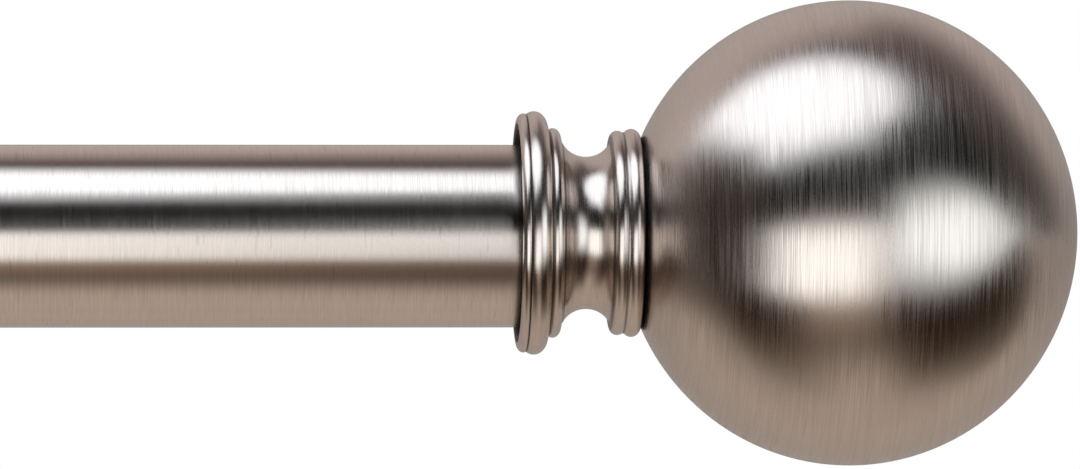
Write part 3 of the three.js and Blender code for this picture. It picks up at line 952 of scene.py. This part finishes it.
def cradle(side):
    """The cradle with a seat for the arm behind it and a boss for the clamp screw under it."""
    x = SIDES[side] * BRACKET_X
    rod_place = towards((1, 0, 0), x, ROD_Y, 0)
    out_place = towards((0, -1, 0), x, 0, 0)
    up_place = towards((0, 0, 1), x, ROD_Y, 0)
    band = extruded(f"{side}_cradle_cast", cradle_outline(), -CRADLE_HALF_WIDTH,
                    CRADLE_HALF_WIDTH, rod_place, bevel=0.7)

    seat_front = CRADLE_BACK + 1
    seat_profile = [(CRADLE_BACK - 1.5, 0), *round_arc(CRADLE_BACK - 1.0, 8.0, 0.5, 180, 90, 5),
                    (seat_front, 8.5), (seat_front, 0)]
    seat = turned(f"{side}_seat", seat_profile, out_place, MEDIUM)

    boss_top = -14.1
    boss_profile = [(-21, 0), *round_arc(-20.4, 4.9, 0.6, 180, 90, 5), (-16.4, 5.5),
                    (-15.2, 6.4), (boss_top, 6.4), (boss_top, 0)]
    boss = turned(f"{side}_boss", boss_profile, up_place, MEDIUM)
    made = worked(band, [seat, boss], "UNION")

    bolt_r = 2.7
    bolt_head_r = 4.9
    bolt_profile = [(CRADLE_BACK - 2, 0), (CRADLE_BACK - 2, bolt_r), (CRADLE_BACK + 0.4, bolt_r),
                    (CRADLE_BACK + 2.6, bolt_head_r), (CRADLE_BACK + 4, bolt_head_r),
                    (CRADLE_BACK + 4, 0)]
    bolt_hole = turned(f"{side}_bolt_hole", bolt_profile, out_place, SMALL)

    screw_r = 2.6
    screw_profile = [(-22, 0), (-22, 3.4), (-21, 3.0), (-20.6, screw_r), (-12, screw_r), (-12, 0)]
    screw_hole = turned(f"{side}_screw_hole", screw_profile, up_place, SMALL)
    return worked(made, [bolt_hole, screw_hole])


def cradle_bolt(side, place):
    """A countersunk bolt with a hexagon socket."""
    face = CRADLE_BACK + 2.3
    start = ARM_FRONT - 12
    shank_start = start + 0.4
    shank = straight(shank_start, face - 2.0, 2.4, steps=60)
    profile = [(start, 0), (start, 2.0), *shank, (face - 0.1, 4.35), (face, 4.25), (face, 0)]
    wave = thread(pitch=0.8, depth=0.4, start=shank_start, end=face - 4)
    bolt = turned(f"{side}_cradle_bolt_threaded", profile, place, SMALL, wave=wave)
    socket = turned(f"{side}_bolt_socket", rod_profile(face - 1.8, face + 1, 1.75), place, HEXAGON)
    return worked(bolt, [socket])


def thumbscrew(name, place, shank_r, head_top, head_length, head_r, pitch):
    """A screw with its tip at 0 and a fluted, domed head below."""
    top = -head_top
    bottom = top - head_length
    edge = 0.7
    edge_r = head_r - edge
    shank_start = top + 1.2
    steps = int((head_top - 1.6) / (pitch / 6))
    profile = [(bottom, 0)]
    for degrees in range(15, 91, 15):
        angle = math.radians(degrees)
        profile.append((bottom + 0.9 * (1 - math.cos(angle)), (head_r - 1.2) * math.sin(angle)))
    profile += [
        *round_arc(bottom + 1.6, edge_r, edge, 180, 90, 5),
        (top - 1.6, head_r),
        *round_arc(top - edge, edge_r, edge, 90, 0, 5),
        (top, shank_r + 1.3),
        (top + 0.9, shank_r + 1.2),
        (shank_start, shank_r + 0.9),
        *straight(shank_start, -0.4, shank_r, steps),
        (0, shank_r - 0.4),
        (0, 0),
    ]
    cut = thread(pitch, depth=pitch * 0.5, start=top + 1.5, end=-0.3)
    grip_start, grip_end = bottom + 1.4, top - 0.5
    runout = 0.5

    def wave(along, radius, angle):
        if grip_start <= along <= grip_end:
            depth = min(1.0, (along - grip_start) / runout, (grip_end - along) / runout)
            return radius - FLUTE_DEPTH * max(depth, 0) * (0.5 + 0.5 * math.cos(FLUTES * angle))
        return cut(along, radius, angle)

    return turned(name, profile, place, FLUTES * 8, wave=wave)


def pad(name, start, end, radius, place):
    """The pad in front of a thumbscrew's tip."""
    profile = eased(rod_profile(start, end, radius), ease=0.3, closed=False)
    return turned(name, profile, place, SMALL)


def make_bracket(side):
    """A bracket: plate, screws, anchors, cover and sleeve on the wall, and the arm, cradle,
    thumbscrews and pads that move."""
    x = SIDES[side] * BRACKET_X
    place = towards((0, -1, 0), x, 0, 0)
    clamp_axis = towards((0, 0, 1), x, ROD_Y, 0)
    lock_axis = towards((0, 0, 1), x, -LOCK_AT, 0)
    nickel_arm = nickel(f"nickel_{side}_arm", "Y", (x, 0, 0), roughness=0.25)
    nickel_clamp = nickel(f"nickel_{side}_clamp", "Z", (x, ROD_Y, 0), roughness=0.23)
    nickel_lock = nickel(f"nickel_{side}_lock", "Z", (x, -LOCK_AT, 0), roughness=0.23)

    circle_places = {}
    for at, degrees in SCREW_ANGLES.items():
        angle = math.radians(degrees)
        circle_places[at] = towards((0, -1, 0), x + SCREW_CIRCLE_R * math.sin(angle), 0,
                                    SCREW_CIRCLE_R * math.cos(angle))
    fixed = "wall_side"
    plate = wall_plate(side, place, circle_places)
    set_piece(plate, zinc, fixed, "zinc_steel", f"{side}_wall_plate")
    for at, circle_place in circle_places.items():
        screw = wall_screw(f"{side}_wall_screw_{at}_threaded", circle_place)
        set_piece(screw, zinc, fixed, "zinc_steel", f"{side}_wall_screw_{at}")
        anchor = wall_anchor(f"{side}_wall_anchor_{at}_ribbed", circle_place)
        set_piece(anchor, anchor_plastic, fixed, "anchor_plastic", f"{side}_wall_anchor_{at}")
    nickel_piece(wall_cover(side, place), nickel_arm, fixed, f"{side}_wall_cover")
    nickel_piece(arm_sleeve(side, place, lock_axis), nickel_arm, fixed, f"{side}_arm_sleeve")

    arm = f"{side}_arm"
    nickel_piece(arm_bar(side, place), nickel_arm, arm, f"{side}_arm_bar")
    nickel_piece(cradle(side), nickel_cradle, arm, f"{side}_cradle")
    set_piece(cradle_bolt(side, place), zinc, arm, "zinc_steel", f"{side}_cradle_bolt")

    clamp_tip = -14.7  # from the rod's axis
    clamp_place = clamp_axis @ Matrix.Translation((clamp_tip, 0, 0))
    clamp = thumbscrew(f"{side}_clamp_screw_fluted", clamp_place, shank_r=2.3, head_top=9,
                       head_length=6, head_r=7.5, pitch=0.8)
    nickel_piece(clamp, nickel_clamp, f"{side}_clamp_screw", f"{side}_clamp_screw")
    clamp_pad = pad(f"{side}_clamp_pad_nylon", start=-14.4, end=-13.0, radius=2.0,
                    place=clamp_axis)
    set_piece(clamp_pad, nylon, f"{side}_clamp_pad", "nylon", f"{side}_clamp_pad")

    lock_tip = -6.8  # from the arm's axis
    lock_place = lock_axis @ Matrix.Translation((lock_tip, 0, 0))
    lock = thumbscrew(f"{side}_lock_screw_fluted", lock_place, shank_r=1.9, head_top=5,
                      head_length=5, head_r=6, pitch=0.7)
    nickel_piece(lock, nickel_lock, f"{side}_lock_screw", f"{side}_lock_screw")
    lock_pad = pad(f"{side}_lock_pad_brass", start=-6.5, end=-5.3, radius=1.7,
                   place=lock_axis)
    set_piece(lock_pad, brass, f"{side}_lock_pad", "brass", f"{side}_lock_pad")


# ---------------------------------------------------------------- studio

FLOOR_Z = -0.35
FLOOR_HALF = 8.0


def make_floor():
    """A wide pale floor under the object, out of its reflections."""
    mesh = bpy.data.meshes.new("floor")
    half = FLOOR_HALF
    corners = [(-half, -half, FLOOR_Z), (half, -half, FLOOR_Z), (half, half, FLOOR_Z),
               (-half, half, FLOOR_Z)]
    mesh.from_pydata(corners, [], [(0, 1, 2, 3)])
    floor = bpy.data.objects.new("floor", mesh)
    bpy.context.scene.collection.objects.link(floor)
    material, nodes = new_material("pale_floor")
    mottle = grain(nodes, 0.002, detail=3.0)
    tone = nodes.ramp(mottle, *SPECK_SPAN)
    colour = nodes.mix(tone, (0.93, 0.89, 0.85, 1), (0.96, 0.92, 0.88, 1))
    nodes.surface({"Base Color": colour, "Roughness": 0.9})
    mesh.materials.append(material)
    floor.visible_glossy = False


def window(nodes, value, edges, softness):
    """1 between two edges, falling smoothly to 0 past each of them."""
    low, high = edges
    soft_low, soft_high = softness
    past_low = nodes.math("SUBTRACT", value, low)
    rise = nodes.ramp(past_low, -soft_low, soft_low, smooth=True)
    past_high = nodes.math("SUBTRACT", value, high)
    fall = nodes.ramp(past_high, -soft_high, soft_high, 1.0, 0.0, smooth=True)
    return nodes.math("MULTIPLY", rise, fall)


# The studio round the object. Heights are degrees round the rod, 0 towards the camera, 90
# overhead and -90 below; sides are the part of the direction along the rod, -1 left and 1 right.
ROOM = [  # height, colour
    (-180, (0.36, 0.33, 0.31)),
    (-120, (0.54, 0.47, 0.41)),
    (-98, (0.44, 0.38, 0.33)),
    (-86, (0.20, 0.17, 0.14)),
    (-75, (0.07, 0.045, 0.03)),
    (-60, (0.025, 0.012, 0.008)),
    (-25, (0.03, 0.015, 0.01)),
    (20, (0.003, 0.003, 0.003)),
    (80, (0.006, 0.006, 0.006)),
    (105, (0.12, 0.09, 0.10)),
    (116, (0.42, 0.37, 0.36)),
    (130, (0.58, 0.52, 0.51)),
    (150, (0.55, 0.50, 0.475)),
    (180, (0.36, 0.33, 0.31)),
]
# Each card: its colour; its lower and upper edge, how much higher each of them gets to the right,
# and their softness; its left and right edge and the softness of each. Later cards cover earlier
# ones.
CARDS = [
    # a pale card below, and the softbox overhead
    ((0.75, 0.65, 0.56), (-100, -60), (6, -22), 25, (-0.15, 0.28), (0.5, 0.2)),
    ((1.7, 1.9, 2.1), (46.3, 94.6), (6, -26), 10.5, (-0.83, 0.33), (0.11, 0.12)),
    # the fill light beside the camera: its dim frame, and its face
    ((0.54, 0.43, 0.34), (-46, -2), (5, -6), 18, (-0.43, 0.20), (0.10, 0.12)),
    ((1.86, 1.96, 2.0), (-31.3, 4.3), (9, 2), 7.5, (-0.69, 0.19), (0.15, 0.22)),
    # a window to the right
    ((1.6, 1.8, 1.9), (-14.5, 2.5), (-21, 33), 18, (0.325, 1.03), (0.08, 0.15)),
    # black cards to the right: high at the back, low in front, overhead at the far end
    ((0.07, 0.05, 0.04), (103, 134), (-12, -8), 28, (0.13, 1.6), (0.10, 0.2)),
    ((0.03, 0.02, 0.01), (-48, -51), (-98, -20), 12, (0.66, 1.4), (0.33, 0.2)),
    ((0.05, 0.047, 0.044), (73, 300), (5, 0), 13, (0.81, 0.985), (0.17, 0.03)),
    # black cards in front: high to the left, and between the softbox and the window
    ((0.05, 0.04, 0.035), (20, 67), (0, 0), 8, (-1.0, -0.71), (0.1, 0.06)),
    ((0.02, 0.02, 0.02), (30, 48), (0, 45), 6, (0.14, 0.5), (0.07, 0.1)),
    # the far left: a dark wall, and a blacker card in front of it
    ((0.13, 0.11, 0.095), (-300, 300), (0, 0), 12, (-1.6, -0.88), (0.2, 0.08)),
    ((0.03, 0.025, 0.02), (-75, 95), (0, 0), 20, (-1.6, -0.86), (0.2, 0.09)),
]


def make_world():
    """The room with its cards as light and reflections, and plain white behind the object."""
    world = bpy.data.worlds.new("studio")
    bpy.context.scene.world = world
    world.use_nodes = True
    nodes = Nodes(world.node_tree)
    direction = nodes.add("ShaderNodeTexCoord").outputs["Generated"]
    split = nodes.add("ShaderNodeSeparateXYZ", {0: direction}).outputs
    sideways = split[0]
    forward = nodes.math("MULTIPLY", split[1], -1.0)
    height = nodes.math("DEGREES", nodes.math("ARCTAN2", split[2], forward))

    room = nodes.add("ShaderNodeValToRGB", {0: nodes.ramp(height, -180.0, 180.0)})
    stops = room.color_ramp.elements
    while len(stops) > 1:
        stops.remove(stops[-1])
    for k, (degrees, colour) in enumerate(ROOM):
        position = (degrees + 180) / 360
        stop = stops.new(position) if k else stops[0]
        stop.position = position
        stop.color = (*colour, 1)

    light = room.outputs[0]
    for colour, heights, rises, softness, sides, side_softness in CARDS:
        edges = [nodes.math("MULTIPLY_ADD", sideways, rise, edge)
                 for edge, rise in zip(heights, rises)]
        within_height = window(nodes, height, edges, (softness, softness))
        within_sides = window(nodes, sideways, sides, side_softness)
        covered = nodes.math("MULTIPLY", within_height, within_sides)
        light = nodes.mix(covered, light, (*colour, 1))

    seen = nodes.add("ShaderNodeBackground", {"Color": (1, 1, 1, 1), "Strength": 1.0})
    lighting = nodes.add("ShaderNodeBackground", {"Color": light, "Strength": 1.0})
    camera_ray = nodes.add("ShaderNodeLightPath").outputs["Is Camera Ray"]
    shown = nodes.add(
        "ShaderNodeMixShader", {0: camera_ray, 1: lighting.outputs[0], 2: seen.outputs[0]}
    )
    nodes.add("ShaderNodeOutputWorld", {"Surface": shown.outputs[0]})


CAMERA_DISTANCE = 1.67
CAMERA_TURN = math.radians(-3.4)
FRAME_WIDTH = 0.1502  # how much of the object's length is in view, in metres
VIEW_PAST_RIM = 3.7  # the middle of the view, in millimetres from the finial's rim and axis
VIEW_ABOVE_AXIS = -0.22


def make_camera():
    """A long lens on the right finial, square to the rod but for a slight turn."""
    camera = bpy.data.objects.new("camera", bpy.data.cameras.new("camera"))
    bpy.context.scene.collection.objects.link(camera)
    camera.data.sensor_width = 36
    camera.data.lens = camera.data.sensor_width * CAMERA_DISTANCE / FRAME_WIDTH
    camera.data.clip_start = 0.1
    camera.data.clip_end = 100
    target = Vector((RIM_X + VIEW_PAST_RIM, ROD_Y, FINIAL_Z + VIEW_ABOVE_AXIS)) * MM
    back = Vector((math.sin(CAMERA_TURN), -math.cos(CAMERA_TURN), 0))
    camera.location = target + back * CAMERA_DISTANCE
    camera.rotation_euler = (-back).to_track_quat("-Z", "Y").to_euler()
    bpy.context.scene.camera = camera
    bpy.context.scene.view_settings.view_transform = "Standard"


make_camera()
make_world()
make_floor()
make_rod()
for side_name in SIDES:
    make_finial(side_name)
    make_bracket(side_name)
